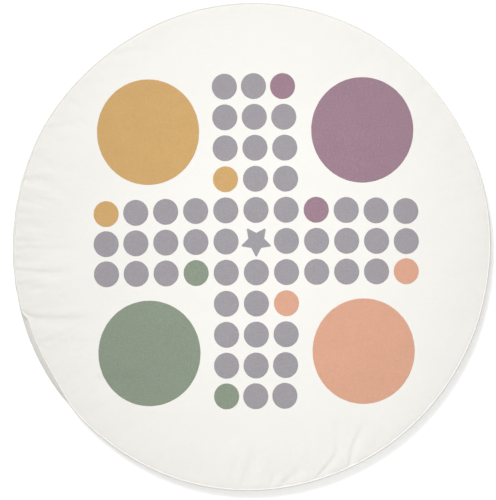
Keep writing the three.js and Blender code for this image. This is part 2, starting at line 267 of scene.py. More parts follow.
def stretch(theta, first, last, rise, fall):
    """0 outside the angles first to last, 1 between, rising and falling over so many degrees inside them."""
    angle = (np.degrees(theta) - first) % 360
    return smooth(angle / rise) * smooth((last - first - angle) / fall)


def outline(theta):
    """Outermost radius of the side band."""
    waves = (h * np.cos(n * (theta - math.radians(peak_deg))) for n, h, peak_deg in OUTLINE_WAVES)
    return OUTLINE_RADIUS + sum(waves)


def seam_radius(theta):
    """Radius of the upper seam, where the piping is."""
    inset = SEAM_INSET
    for *span, depth in SEAM_SLIPS:
        inset = inset + depth * stretch(theta, *span)
    return outline(theta) - inset


def lower_seam_radius(theta):
    return outline(theta) - LOWER_SEAM_INSET


def slackness(theta):
    """0 where the cover is drawn tight over the foam, 1 where it gathers most."""
    found = 0.05
    for middle_deg, half_deg, much in SLACK:
        apart_deg = np.abs((np.degrees(theta) - middle_deg + 180) % 360 - 180)
        found = found + much * smooth(1.3 - apart_deg / half_deg)
    return np.minimum(found, 1)


def gathers(theta, inset):
    """Small tucks that run in from the seam."""
    rng = np.random.default_rng(SEED)
    height = 0
    for order in (61, 83, 109, 137, 173):
        phase, drift = rng.uniform(0, TURN, 2)
        sway = 0.6 * np.sin(5 * theta + drift)
        height = height + np.cos(order * theta + phase + sway) * (61 / order) ** 0.5
    return 0.10 * height * slackness(theta) * fading(inset, 16)


def unevenness(x, y):
    """Broad, shallow waves of the padding."""
    rng = np.random.default_rng(SEED + 1)
    height = 0
    for length in (310, 240, 190, 150, 120, 95):
        heading, phase = rng.uniform(0, TURN, 2)
        along = x * math.cos(heading) + y * math.sin(heading)
        height = height + length / 310 * np.sin(TURN * along / length + phase)
    return 0.32 * height


def smooth_path(points, steps=6):
    """A Catmull-Rom curve through points."""
    points = np.asarray(points, float)
    padded = np.vstack([2 * points[0] - points[1], points, 2 * points[-1] - points[-2]])
    path = []
    for a, b, c, d in zip(padded, padded[1:], padded[2:], padded[3:]):
        for t in np.arange(steps) / steps:
            cubic = 3 * b - a - 3 * c + d
            path.append((2 * b + (c - a) * t + (2 * a - 5 * b + 4 * c - d) * t**2 + cubic * t**3) / 2)
    return np.array(path + [points[-1]])


def crease_path(places):
    return smooth_path([(r * math.cos(math.radians(a)), r * math.sin(math.radians(a))) for a, r in places])


CREASE_PATHS = [(crease_path(places), depth, width) for places, depth, width in CREASES]


def creases(x, y):
    """Valleys with a soft ridge along each side, sharpest at the rim and fading out inwards."""
    height = np.zeros_like(x)
    for path, depth, width in CREASE_PATHS:
        reach = 5 * width
        low, high = path.min(axis=0) - reach, path.max(axis=0) + reach
        near = (x > low[0]) & (x < high[0]) & (y > low[1]) & (y < high[1])
        if not near.any():
            continue
        px, py = x[near], y[near]
        nearest = np.full(px.shape, np.inf)
        along, side = np.zeros(px.shape), np.zeros(px.shape)
        last = len(path) - 1
        for k, (start, end) in enumerate(zip(path, path[1:])):
            step = end - start
            t = np.clip(((px - start[0]) * step[0] + (py - start[1]) * step[1]) / (step @ step), 0, 1)
            off_x, off_y = px - start[0] - t * step[0], py - start[1] - t * step[1]
            away = np.hypot(off_x, off_y)
            closer = away < nearest
            nearest = np.where(closer, away, nearest)
            along = np.where(closer, (k + t) / last, along)
            side = np.where(closer, off_x * LEAN[0] + off_y * LEAN[1], side)
        gentle = 1 + GENTLER * smooth(0.5 - side / width)
        spread = nearest / (width * (0.55 + 0.75 * along) * gentle)
        fade = smooth(along / 0.06 + 0.4) * smooth((1 - along) / 0.55)
        valley = 0.25 * bell(spread, 2.1, 1.1) - bell(spread, 0, 1)
        height[near] += CREASE_DEPTH * depth * fade * valley
    return height


def cover_height(x, y):
    """Height of the top cloth's upper face."""
    theta, radius = np.arctan2(y, x), np.hypot(x, y)
    inset = seam_radius(theta) - radius
    rise = 1 - np.exp(-np.maximum(inset, -4) / EDGE_ROLL)
    middle = 1 - (radius / OUTLINE_RADIUS) ** 2
    shape = SEAM_LEVEL + EDGE_RISE * rise + CROWN * middle + unevenness(x, y) * smooth(inset / 30)
    return shape + gathers(theta, inset) + creases(x, y) + swell(theta, radius)


def bottom_height(x, y):
    """Height of the bottom cloth's lower face: flat on the floor, and up to the seam at its rim."""
    theta, radius = np.arctan2(y, x), np.hypot(x, y)
    inset = lower_seam_radius(theta) - radius
    tuck = 0.25 * slackness(theta) * (1 + np.cos(97 * theta)) * fading(inset, 14)
    return FLOOR_GAP + (LOWER_SEAM_LEVEL - 1.4) * fading(inset, 3.5) + tuck


def moved(heights, up):
    """The same heights, moved up."""
    return lambda x, y: heights(x, y) + up


def inside_opening(theta):
    """Millimetres along the rim to the nearer end of the zip's opening; minus outside the opening."""
    from_middle = np.abs((theta - OPENING.angle + np.pi) % TURN - np.pi)
    return OPENING_LENGTH / 2 - from_middle * OUTLINE_RADIUS


# ---------- cloth simulation of the top cloth ----------


def swell_of_cloth():
    """Swells a coarse copy of the top cloth, held at its rim, and keeps the wrinkles that form.
    """
    shares = np.linspace(1, SWELL_START, SWELL_RINGS)
    theta = turns(SWELL_SPOKES)
    start = polar(theta, seam_radius(theta) * shares[:, None], 0.0)
    rng = np.random.default_rng(SEED + 2)
    start[1:, :, 2] += rng.normal(0, 0.05, (SWELL_RINGS - 1, SWELL_SPOKES))
    faces = grid_faces(SWELL_RINGS, SWELL_SPOKES)
    obj = new_object("swelling_cloth", start.reshape(-1, 3), faces)
    held = obj.vertex_groups.new(name="held")
    count = SWELL_RINGS * SWELL_SPOKES
    held.add([*range(SWELL_SPOKES), *range(count - SWELL_SPOKES, count)], 1.0, "REPLACE")
    cloth = obj.modifiers.new("Cloth", "CLOTH")
    for setting, value in SWELL_SETTINGS.items():
        setattr(cloth.settings, setting, value)
    cloth.settings.effector_weights.gravity = 0
    cloth.point_cache.frame_start = 1
    cloth.point_cache.frame_end = SWELL_FRAMES
    scene = bpy.context.scene
    for step in range(1, SWELL_FRAMES + 1):
        scene.frame_set(step)
    settled = obj.evaluated_get(bpy.context.evaluated_depsgraph_get()).data
    lifted = np.array([v.co.z for v in settled.vertices]).reshape(SWELL_RINGS, SWELL_SPOKES) / MM
    scene.frame_set(1)
    bpy.data.objects.remove(obj)
    wrinkles = lifted - lifted.mean(axis=1, keepdims=True)
    return np.clip(wrinkles, -SWELL_CAP, SWELL_CAP)


def swell(theta, radius):
    """The simulated wrinkles at any place on the cloth, strongest where the cover is slack."""
    if SWELL is None:
        return 0
    share = radius / seam_radius(theta)
    row = np.clip((1 - share) / (1 - SWELL_START) * (SWELL_RINGS - 1), 0, SWELL_RINGS - 1.001)
    column = (theta % TURN) / TURN * SWELL_SPOKES
    i, j = row.astype(int), column.astype(int) % SWELL_SPOKES
    k = (j + 1) % SWELL_SPOKES
    s, t = smooth(row - i), smooth(column - np.floor(column))
    outer = SWELL[i, j] * (1 - t) + SWELL[i, k] * t
    inner = SWELL[i + 1, j] * (1 - t) + SWELL[i + 1, k] * t
    inside = smooth((share - SWELL_START) / 0.2)
    return (outer * (1 - s) + inner * s) * inside * (0.12 + 0.38 * slackness(theta))


# ---------- mesh making ----------


def polar(theta, radius, level):
    """Points at angles, radii and heights, which are arrays or numbers."""
    return np.stack(np.broadcast_arrays(radius * np.cos(theta), radius * np.sin(theta), level), axis=-1)


def new_object(name, points, faces, material=None):
    """A smooth-shaded mesh object from points in millimetres."""
    mesh = bpy.data.meshes.new(name)
    mesh.from_pydata((np.asarray(points) * MM).tolist(), [], faces)
    mesh.polygons.foreach_set("use_smooth", [True] * len(mesh.polygons))
    if material:
        mesh.materials.append(material)
    obj = bpy.data.objects.new(name, mesh)
    bpy.context.scene.collection.objects.link(obj)
    return obj


def outward(obj):
    """Turns the faces of a closed solid outwards."""
    mesh = bmesh.new()
    mesh.from_mesh(obj.data)
    bmesh.ops.recalc_face_normals(mesh, faces=mesh.faces)
    mesh.to_mesh(obj.data)
    mesh.free()


def on_body(piece, node, body="mat"):
    """Puts a piece on the body it moves with, and hides the CAD node it stands for, if any."""
    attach(piece, body)
    if node:
        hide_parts(node)
    return piece


def turned_piece(name, node, shape, material, body="mat"):
    """A piece from the (points, faces) of a closed solid, whose faces may still need turning outwards."""
    piece = new_object(name, *shape, material)
    outward(piece)
    return on_body(piece, node, body)


def grid_faces(rows, columns, closed=True, looped=False, start=0, flip=False):
    """Quads between the points of a grid, stored row by row.

    closed joins the last column to the first, and looped the last row to the first.
    """
    faces = []
    for i in range(rows if looped else rows - 1):
        a, b = i * columns, (i + 1) % rows * columns
        for j in range(columns if closed else columns - 1):
            k = (j + 1) % columns
            quad = (a + j, a + k, b + k, b + j)
            faces.append(tuple(start + n for n in (reversed(quad) if flip else quad)))
    return faces


def shell(outer, inner):
    """Points and faces of a closed solid between two open grids of points, rows by columns."""
    rows, columns, _ = outer.shape
    count = rows * columns
    faces = grid_faces(rows, columns, False)
    faces += grid_faces(rows, columns, False, start=count, flip=True)
    bottom = (rows - 1) * columns
    for j in range(columns - 1):
        k = j + 1
        faces.append((k, j, count + j, count + k))
        faces.append((bottom + j, bottom + k, count + bottom + k, count + bottom + j))
    for i in range(rows - 1):
        a, b = i * columns, (i + 1) * columns
        faces.append((a, b, count + b, count + a))
        a, b = a + columns - 1, b + columns - 1
        faces.append((b, a, count + a, count + b))
    return np.vstack([outer.reshape(-1, 3), inner.reshape(-1, 3)]), faces


def ringed(shares, spokes, fewest=24):
    """Rings of a disc from the rim inwards, as (share of the radius, number of points).

    The number is halved whenever the points of a ring would lie closer than 0.6 of those at the rim.
    """
    rings, count = [], spokes
    for share in shares:
        while count % 2 == 0 and count // 2 >= fewest and share * spokes / count < 0.6:
            count //= 2
        rings.append((share, count))
    return rings


def disc_faces(rings, start, flip):
    """Faces between the rings of a disc and to a point in its middle, which comes after the last ring."""
    faces, first = [], start
    for (_, many), (_, fewer) in zip(rings, rings[1:]):
        following = first + many
        if many == fewer:
            faces += grid_faces(2, many, start=first)
        for j in range(fewer if many != fewer else 0):
            a, b, c = first + 2 * j, first + 2 * j + 1, first + (2 * j + 2) % many
            p, q = following + j, following + (j + 1) % fewer
            faces += [(a, b, p), (b, q, p), (b, c, q)]
        first = following
    last = rings[-1][1]
    faces += [(first + j, first + (j + 1) % last, first + last) for j in range(last)]
    return [tuple(reversed(f)) for f in faces] if flip else faces


def disc_places(rings, rim):
    """x and y of every point of a disc whose rim has the radius rim(theta), and of its middle."""
    theta = np.concatenate([turns(count) for _, count in rings] + [[0]])
    share = np.concatenate([np.full(count, share) for share, count in rings] + [[0]])
    return share * rim(theta) * np.cos(theta), share * rim(theta) * np.sin(theta)


def disc_solid(rim, upper, lower, shares, under_shares, spokes, middle=(0, 0)):
    """Points and faces of a closed disc between the heights upper(x, y) and lower(x, y)."""
    points, faces = [], []
    for heights, ring_shares, flip in ((upper, shares, False), (lower, under_shares, True)):
        rings = ringed(ring_shares, spokes)
        x, y = disc_places(rings, rim)
        x, y = middle[0] + x, middle[1] + y
        faces += disc_faces(rings, sum(len(p) for p in points), flip)
        points.append(np.column_stack([x, y, heights(x, y)]))
    low = len(points[0])
    for j in range(spokes):
        k = (j + 1) % spokes
        faces.append((k, j, low + j, low + k))
    return np.vstack(points), faces


def rounded_block(size, bevel, cuts):
    """Points and faces of a block with round edges, centred at 0, cut across into cuts pieces each way."""
    mesh = bmesh.new()
    bmesh.ops.create_cube(mesh, size=1)
    for vertex in mesh.verts:
        vertex.co = [c * s for c, s in zip(vertex.co, size)]
    bmesh.ops.bevel(
        mesh, geom=mesh.edges[:], offset=bevel, segments=3, profile=0.5, affect="EDGES", clamp_overlap=True
    )
    for axis, count in enumerate(cuts):
        reach = size[axis] / 2 - bevel
        for cut in np.linspace(-reach, reach, count + 1)[1:-1]:
            normal, where = [0, 0, 0], [0, 0, 0]
            normal[axis], where[axis] = 1, cut
            whole = mesh.verts[:] + mesh.edges[:] + mesh.faces[:]
            bmesh.ops.bisect_plane(mesh, geom=whole, plane_co=where, plane_no=normal, dist=1e-5)
    mesh.verts.index_update()
    points = np.array([v.co for v in mesh.verts])
    faces = sorted(tuple(v.index for v in f.verts) for f in mesh.faces)
    mesh.free()
    return points, faces


def on_rim(points, span):
    """Bends points round the rim at the middle of a span: local x clockwise along it, y outwards, z up."""
    x, y, z = points.T
    return polar(span.angle - x / span.radius, span.radius + y, span.level + z)


def at_slider(points):
    """Sets points at the slider unbent: local x clockwise along the rim, y out from the mat's axis, z up."""
    return (points + (0, 0, MID_HEIGHT)) @ SLIDER_AXES


def joined(parts):
    """Several (points, faces) as one."""
    points, faces, count = [], [], 0
    for some, theirs in parts:
        points.append(some)
        faces += [tuple(n + count for n in f) for f in theirs]
        count += len(some)
    return np.vstack(points), faces


def tube(path, radius, sides, closed=False):
    """Points and faces of a round tube along path; radius is a number or one for each point."""
    path = np.asarray(path, float)
    count = len(path)
    if closed:
        ahead, behind = np.roll(path, -1, 0), np.roll(path, 1, 0)
    else:
        ahead, behind = np.vstack([path[1:], path[-1:]]), np.vstack([path[:1], path[:-1]])
    along = ahead - behind
    along /= np.linalg.norm(along, axis=1, keepdims=True)
    guide = np.where(np.abs(along[:, 2:]) > 0.95, (1.0, 0.0, 0.0), (0.0, 0.0, 1.0))
    side = np.cross(along, guide)
    side /= np.linalg.norm(side, axis=1, keepdims=True)
    top = np.cross(side, along)
    turn = turns(sides)
    width = np.broadcast_to(np.asarray(radius, float), (count,))[:, None, None]
    ring = side[:, None, :] * np.cos(turn)[None, :, None] + top[:, None, :] * np.sin(turn)[None, :, None]
    points = (path[:, None, :] + width * ring).reshape(-1, 3)
    faces = grid_faces(count, sides, looped=closed)
    if not closed:
        faces += [tuple(range(sides)), tuple(reversed(range((count - 1) * sides, count * sides)))]
    return points, faces


# ---------- materials ----------


class Shader:
    """A node-based material that is put together one texture at a time. Its lengths are in metres."""

    def __init__(self, name, roughness, **settings):
        self.material = bpy.data.materials.new(name)
        self.material.use_nodes = True
        self.tree = self.material.node_tree
        self.surface = self.tree.nodes["Principled BSDF"]
        self.set(self.surface, Roughness=roughness, **settings)
        self.place = self.tree.nodes.new("ShaderNodeTexCoord").outputs["Object"]
        self.normal = None

    def feed(self, socket, value):
        if isinstance(value, bpy.types.NodeSocket):
            self.tree.links.new(value, socket)
        else:
            socket.default_value = value

    def set(self, node, **inputs):
        for socket, value in inputs.items():
            self.feed(node.inputs[socket.replace("_", " ")], value)
        return node

    def node(self, kind, **inputs):
        return self.set(self.tree.nodes.new("ShaderNode" + kind), **inputs)

    def maths(self, operation, *values):
        made = self.node("Math")
        made.operation = operation
        for socket, value in zip(made.inputs, values):
            self.feed(socket, value)
        return made.outputs[0]

    def times(self, first, second):
        return self.maths("MULTIPLY", first, second)

    def rest(self, share):
        """1 minus a share."""
        return self.maths("SUBTRACT", 1.0, share)

    def stretched(self, x, y, z, place=None):
        """Texture places scaled by x, y and z."""
        return self.node("Mapping", Vector=place or self.place, Scale=(x, y, z)).outputs[0]

    def noise(self, scale, detail, place=None):
        return self.node("TexNoise", Vector=place or self.place, Scale=scale, Detail=detail).outputs["Fac"]

    def between(self, low, high, value):
        """value, taken from the range low to high to the range 0 to 1."""
        return self.node("MapRange", Value=value, From_Min=low, From_Max=high).outputs["Result"]

    def patches(self, scale, detail, low=0.3, high=0.7):
        return self.between(low, high, self.noise(scale, detail))

    def mix(self, share, first, second):
        made = self.node("Mix")
        made.data_type = "RGBA"
        for number, value in ((0, share), (6, first), (7, second)):
            self.feed(made.inputs[number], value)
        return made.outputs[2]

    def bands(self, pitch, axis, place=None):
        """Ridges a pitch apart, across the X, Y or Z axis or diagonally."""
        made = self.node("TexWave", Vector=place or self.place, Scale=math.pi / (10 * pitch))
        made.bands_direction = axis
        return made.outputs["Fac"]

    def from_axis(self):
        """Distance from the middle of the mat."""
        x, y, _ = self.node("SeparateXYZ", Vector=self.place).outputs
        return self.maths("SQRT", self.maths("ADD", self.times(x, x), self.times(y, y)))

    def along_rim(self):
        """Texture places unrolled from the rim: along it, up it, and outwards."""
        x, y, z = self.node("SeparateXYZ", Vector=self.place).outputs
        along = self.times(self.maths("ARCTAN2", y, x), OUTLINE_RADIUS * MM)
        return self.node("CombineXYZ", X=along, Y=z, Z=self.from_axis()).outputs[0]

    def plain_weave(self, around=False):
        """Over-and-under threads. around is for cloth that stands up along the rim."""
        wobble = self.node("TexNoise", Vector=self.place, Scale=90.0).outputs["Color"]
        shifted = self.node("VectorMath")
        shifted.operation = "MULTIPLY_ADD"
        place = self.along_rim() if around else self.place
        for socket, value in zip(shifted.inputs, (wobble, (WEAVE_PITCH * 0.8,) * 3, place)):
            self.feed(socket, value)
        place = shifted.outputs[0]
        warp, weft = self.bands(WEAVE_PITCH, "X", place), self.bands(WEAVE_PITCH, "Y", place)
        check = self.node("TexChecker", Vector=place, Scale=1 / WEAVE_PITCH).outputs["Fac"]
        return self.maths("ADD", self.times(warp, check), self.times(weft, self.rest(check)))

    def slubs(self, low, high):
        """Thick places in the yarn, both ways of the weave."""
        along_x = self.noise(1.0, 3.0, self.stretched(35, 900, 35))
        along_y = self.noise(1.0, 3.0, self.stretched(900, 35, 35))
        return self.between(low, high, self.maths("MAXIMUM", along_x, along_y))

    def bump(self, height, distance, strength):
        """Adds a relief, distance deep, on top of those there are."""
        made = self.node("Bump", Height=height, Strength=strength, Distance=distance)
        if self.normal:
            self.feed(made.inputs["Normal"], self.normal)
        self.normal = made.outputs["Normal"]

    def canvas_bump(self, weave, slubs):
        self.bump(weave, 0.00012, 0.6)
        self.bump(slubs, 0.00008, 0.7)
        self.bump(self.noise(140.0, 3.0), 0.00022, 0.6)

    def finished(self, colour):
        self.set(self.surface, Base_Color=colour)
        if self.normal:
            self.set(self.surface, Normal=self.normal)
        return self.material


WEAVE_PITCH = 0.0009


def to_linear(*srgb):
    """A colour read as 0 to 255 on a screen, as the linear values that a shader takes."""
    parts = [c / 255 for c in srgb]
    return tuple(c / 12.92 if c <= 0.04045 else ((c + 0.055) / 1.055) ** 2.4 for c in parts) + (1,)


def tinted(colour, *factors):
    """A colour made lighter or darker, by one factor or by one for each of red, green and blue."""
    factors = factors * 3 if len(factors) == 1 else factors
    return tuple(min(1.0, c * factor) for c, factor in zip(colour, factors)) + (1,)


def warmed(colour, factor):
    """A darker, slightly yellower version of a colour."""
    return tinted(colour, factor, factor * 0.985, factor * 0.945)


def canvas_material(name, base, around, rim_shade, sheen):
    """Off-white cotton canvas: plain weave, slubs in both directions, painted shade between the threads, and
    painted shade in darker, yellower patches towards the rim.
    """
    shader = Shader(name, 0.95, Sheen_Weight=sheen, Sheen_Roughness=0.6, Specular_IOR_Level=0.2)
    slubs = shader.slubs(0.35, 0.75)
    colour = shader.mix(slubs, tinted(base, 1.012), tinted(base, 0.975))
    colour = shader.mix(shader.times(shader.patches(9.0, 4.0), 0.35), colour, warmed(base, 0.985))
    # Painted shade: darker, yellower patches towards the rim.
    rim = shader.between(0.47, 0.555, shader.from_axis())
    wear_and_shade = shader.times(rim, shader.patches(28.0, 4.0, 0.35, 0.8))
    colour = shader.mix(shader.times(wear_and_shade, rim_shade), colour, warmed(base, 0.93))
    colour = shader.mix(shader.patches(190.0, 2.0), tinted(base, 0.975), colour)
    weave = shader.plain_weave(around)
    # Painted shade: darker where the weave is low, between the threads.
    colour = shader.mix(shader.times(shader.rest(weave), 0.10), colour, tinted(base, 0.86))
    shader.canvas_bump(weave, slubs)
    return shader.finished(colour)


def ink_material(name, base):
    """Pigment printed on the canvas: it misses the odd thread, so the weave shows through it."""
    shader = Shader("print_" + name, 0.92, Sheen_Weight=0.05, Specular_IOR_Level=0.2)
    weave = shader.plain_weave()
    slubs = shader.slubs(0.42, 0.72)
    thin = shader.patches(300.0, 2.0, 0.45, 0.72)
    pale = tuple(c + (1 - c) * 0.13 for c in base)
    colour = shader.mix(shader.times(shader.patches(22.0, 5.0), 0.8), tinted(base, 1.03), tinted(base, 0.955))
    colour = shader.mix(shader.times(slubs, 0.8), colour, tinted(base, 0.87))
    colour = shader.mix(shader.times(thin, 0.42), colour, pale)
    # Painted shade: darker where the weave is low, between the threads.
    colour = shader.mix(shader.times(shader.rest(weave), 0.16), colour, tinted(base, 0.8))
    shader.canvas_bump(weave, slubs)
    return shader.finished(colour)


def foam_material():
    """Open-cell polyurethane foam."""
    shader = Shader("foam_cells", 1.0, Specular_IOR_Level=0.15)
    cells = shader.node("TexVoronoi", Vector=shader.place, Scale=420.0).outputs["Distance"]
    pores = shader.between(0.0, 0.55, cells)
    cream = to_linear(233, 228, 212)
    # Painted shade: darker in the pores.
    colour = shader.mix(pores, tinted(cream, 0.72), cream)
    colour = shader.mix(shader.times(shader.noise(6.0, 3.0), 0.3), colour, warmed(cream, 0.9))
    shader.bump(pores, 0.0008, 0.8)
    return shader.finished(colour)


def tape_material():
    """Woven zip tape: fine slanting twill with a raised cord along its edge."""
    shader = Shader("zip_tape_twill", 0.85, Sheen_Weight=0.15)
    place = shader.along_rim()
    turned = shader.node("Mapping", Vector=place, Rotation=(0, 0, math.radians(38))).outputs[0]
    twill = shader.bands(0.0007, "X", turned)
    threads = shader.bands(0.00045, "Y", place)
    height = shader.maths("ADD", twill, shader.times(threads, 0.5))
    base = to_linear(236, 233, 225)
    # Painted shade: darker where the twill and its threads are low.
    colour = shader.mix(shader.between(0.2, 1.2, height), tinted(base, 0.84), base)
    shader.bump(height, 0.0001, 0.8)
    return shader.finished(colour)


def nylon_material():
    """Coil monofilament: smooth, slightly milky."""
    shader = Shader("zip_nylon", 0.38, Coat_Weight=0.15, Coat_Roughness=0.3)
    base = to_linear(230, 226, 216)
    cloudy = shader.noise(300.0, 3.0)
    shader.set(shader.surface, Roughness=shader.maths("ADD", 0.3, shader.times(cloudy, 0.18)))
    shader.bump(shader.noise(900.0, 2.0), 0.00002, 0.5)
    return shader.finished(shader.mix(cloudy, tinted(base, 0.94), base))


def nickel_material():
    """Satin nickel plate, rubbed along its length."""
    shader = Shader("zip_nickel", 0.3, Metallic=1.0)
    rubbed = shader.noise(1.0, 4.0, shader.stretched(250, 5000, 5000, shader.along_rim()))
    wear_and_shade = shader.patches(500.0, 4.0, 0.45, 0.7)
    base = to_linear(185, 187, 189)
    shader.set(shader.surface, Roughness=shader.maths("ADD", 0.24, shader.times(rubbed, 0.22)))
    shader.bump(rubbed, 0.00001, 0.5)
    return shader.finished(shader.mix(wear_and_shade, base, tinted(base, 0.86)))


def thread_material():
    """Two-ply sewing thread."""
    shader = Shader("sewing_thread", 0.7, Sheen_Weight=0.2)
    plies = shader.bands(0.0006, "DIAGONAL", shader.along_rim())
    base = to_linear(244, 241, 233)
    shader.bump(plies, 0.00006, 0.8)
    # Painted shade: darker in the grooves between the plies.
    return shader.finished(shader.mix(plies, tinted(base, 0.82), base))


def floor_material():
    """A pale, even floor with the faintest mottle."""
    white = (1, 1, 1, 1)
    glow = {"Emission_Color": white, "Emission_Strength": 0.325}
    shader = Shader("studio_floor", 0.9, Specular_IOR_Level=0.1, **glow)
    return shader.finished(shader.mix(shader.noise(3.0, 3.0), tinted(white, 0.96), tinted(white, 0.95)))


CANVAS_COLOUR = to_linear(246, 244, 239)
# Painted shade: the side band's canvas is a slightly darker, warmer copy of the top's.
SHADED_BAND_COLOUR = to_linear(243, 240, 233)
INK_COLOURS = {
    "grey": to_linear(161, 156, 162),
    "mustard": to_linear(210, 169, 109),
    "plum": to_linear(158, 127, 142),
    "peach": to_linear(223, 168, 141),
    "sage": to_linear(140, 152, 134),
}

canvas = canvas_material("canvas_cotton", CANVAS_COLOUR, False, 0.6, 0.12)
shaded_band_canvas = canvas_material("canvas_cotton_band_shaded", SHADED_BAND_COLOUR, True, 0.6, 0.12)
# The piping's canvas gets a quarter of the painted rim shade, so it is painted lighter than the cloth beside
# it.
lighter_cord_canvas = canvas_material("canvas_cotton_cord", CANVAS_COLOUR, True, 0.15, 0.25)
inks = {name: ink_material(name, colour) for name, colour in INK_COLOURS.items()}
foam_cells = foam_material()
tape_weave = tape_material()
nylon = nylon_material()
nickel = nickel_material()
thread = thread_material()

# ---------- the cover ----------

SWELL = swell_of_cloth()

# Rings of the panels: insets from their rims, close together where the top is creased, and shares of the
# radius on their hidden faces.
TOP_RINGS = [*(1.6 * k for k in range(16)), *np.arange(28.0, 200.0, 3.6), *np.arange(206.0, 545.0, 8.0)]
TOP_SHARES = [1 - inset / OUTLINE_RADIUS for inset in TOP_RINGS]
TOP_UNDER_SHARES = [1, 0.97, 0.92, 0.85, 0.75, 0.6, 0.45, 0.3, 0.15]
BOTTOM_RINGS = (0, 1.5, 3, 5, 8, 12, 18, 26, 38, 60, 100, 180, 280, 400, 500)
BOTTOM_SHARES = [1 - inset / OUTLINE_RADIUS for inset in BOTTOM_RINGS]
BOTTOM_OVER_SHARES = [1, 0.99, 0.97, 0.9, 0.7, 0.4, 0.15]


def panel(node, seam, seam_inset, *shape, held, rests_on):
    """The top or bottom cloth; shape is what disc_solid needs besides the rim."""
    points, faces = disc_solid(lambda theta: seam(theta) - PANEL_INSET, *shape)
    piece = on_body(new_object(node + "_cloth", points, faces, canvas), node)


def panels():
    upper, lower = cover_height, moved(cover_height, -CLOTH)
    shape = upper, lower, TOP_SHARES, TOP_UNDER_SHARES, 1152
    panel("top_panel", seam_radius, SEAM_INSET, *shape, held="stretched", rests_on=["foam_core_pad"])
    upper, lower = moved(bottom_height, CLOTH), bottom_height
    shape = upper, lower, BOTTOM_OVER_SHARES, BOTTOM_SHARES, 576
    panel("bottom_panel", lower_seam_radius, LOWER_SEAM_INSET, *shape, held="laid", rests_on=["studio_floor"])


def piping(name, node, seam, level):
    """A cord in a bias strip of canvas, with the strip's small slanting puckers, along one seam."""
    theta = turns(2304)
    rng = np.random.default_rng(SEED + len(name))
    puckers = sum(np.cos(order * theta + rng.uniform(0, TURN)) for order in (233, 271, 317, 359))
    path = polar(theta, seam(theta), level + 0.05 * puckers)
    cord = tube(path, CORD_RADIUS + 0.045 * puckers, 10, True)
    turned_piece(name, node, cord, lighter_cord_canvas)


def band_profile(theta, share):
    """Radius and height of the side band's face, share 0 at the upper seam to 1 at the lower one."""
    top, bottom = seam_radius(theta) - BAND_INSET, lower_seam_radius(theta) - BAND_INSET
    bulge = np.sin(np.pi * np.clip(share, 0, 1)) ** 0.75
    ripple = 0.35 * np.sin(57 * theta + 3 * share) * slackness(theta) * np.sin(np.pi * share)
    swollen = outline(theta) - BAND_TUCK * stretch(theta, *BAND_TUCK_SPAN) - (top + bottom) / 2
    swollen = swollen * (BULGE_BY_ZIP + (1 - BULGE_BY_ZIP) * smooth((-inside_opening(theta) - 8) / 45))
    radius = top + share * (bottom - top) + swollen * bulge + ripple
    return radius, BAND_TOP + share * (BAND_BOTTOM - BAND_TOP)


def band_piece(name, node, first, last, columns, profile, width):
    """One length of side band between two angles; profile gives its face, and the cloth is behind that."""
    theta = np.linspace(first, last, columns)[None, :]
    radius, level = profile(theta, np.linspace(0, 1, 17)[:, None])
    points, faces = shell(polar(theta, radius, level), polar(theta, radius - CLOTH, level))
    piece = turned_piece(name, node, (points, faces), shaded_band_canvas)


def zip_band_profile(side):
    """Face of a strip of band beside the zip; side is 1 above it and -1 below.

    From its seam the strip swells to the outline, dips to its folded edge, and turns in behind it.
    """
    start = BAND_TOP if side > 0 else BAND_BOTTOM
    edge = OPENING.low + SLOT_CLEARANCE if side > 0 else SLOT_LOW - SLOT_CLEARANCE

    def profile(theta, share):
        seam = (seam_radius if side > 0 else lower_seam_radius)(theta) - BAND_INSET
        face = np.clip(share / 0.75, 0, 1)
        back = smooth((share - 0.75) / 0.25)
        swollen = seam + (outline(theta) - 1.0 - seam) * np.sin(np.pi * np.clip(face * 0.8, 0, 1))
        ends = smooth(inside_opening(theta) / 14)
        lip = LIP_RADIUS * ends + (1 - ends) * (swollen + LIP_RADIUS) / 2
        radius = swollen + (lip - swollen) * smooth((face - 0.45) / 0.55) - LIP_TURN * back
        return radius, start + face * (edge - start) + side * 0.55 * np.sin(np.pi * back)

    return profile


def stitches(name, profile, share):
    """A row of lockstitches along a strip of band."""
    count = int(OPENING_LENGTH / STITCH_PITCH)
    lift = STITCH_RISE * np.array([-1.0, 0.75, 1.0, 0.75, -1.0])
    reach = STITCH_LENGTH / OUTLINE_RADIUS / 2
    parts = []
    for k in range(count):
        middle = OPENING.first + (k + 0.5) * (OPENING.last - OPENING.first) / count
        theta = middle + np.linspace(-reach, reach, 5)
        radius, level = profile(theta, np.full(5, share))
        parts.append(tube(polar(theta, radius + lift, level), 0.24, 6))
    turned_piece(name, None, joined(parts), thread)


def side_band():
    """The plain length, the long way round, and the strips over and under the zip."""
    ends = (OPENING.last, OPENING.first + TURN)
    band_piece("side_band_plain_cloth", "side_band_plain", *ends, 1400, band_profile, 0.026)
    for word, side in (("over", 1), ("under", -1)):
        node, profile = f"side_band_{word}_zip", zip_band_profile(side)
        band_piece(node + "_cloth", node, OPENING.first, OPENING.last, 620, profile, 0.0125)
        stitches(f"stitches_{word}_zip", profile, 0.58)


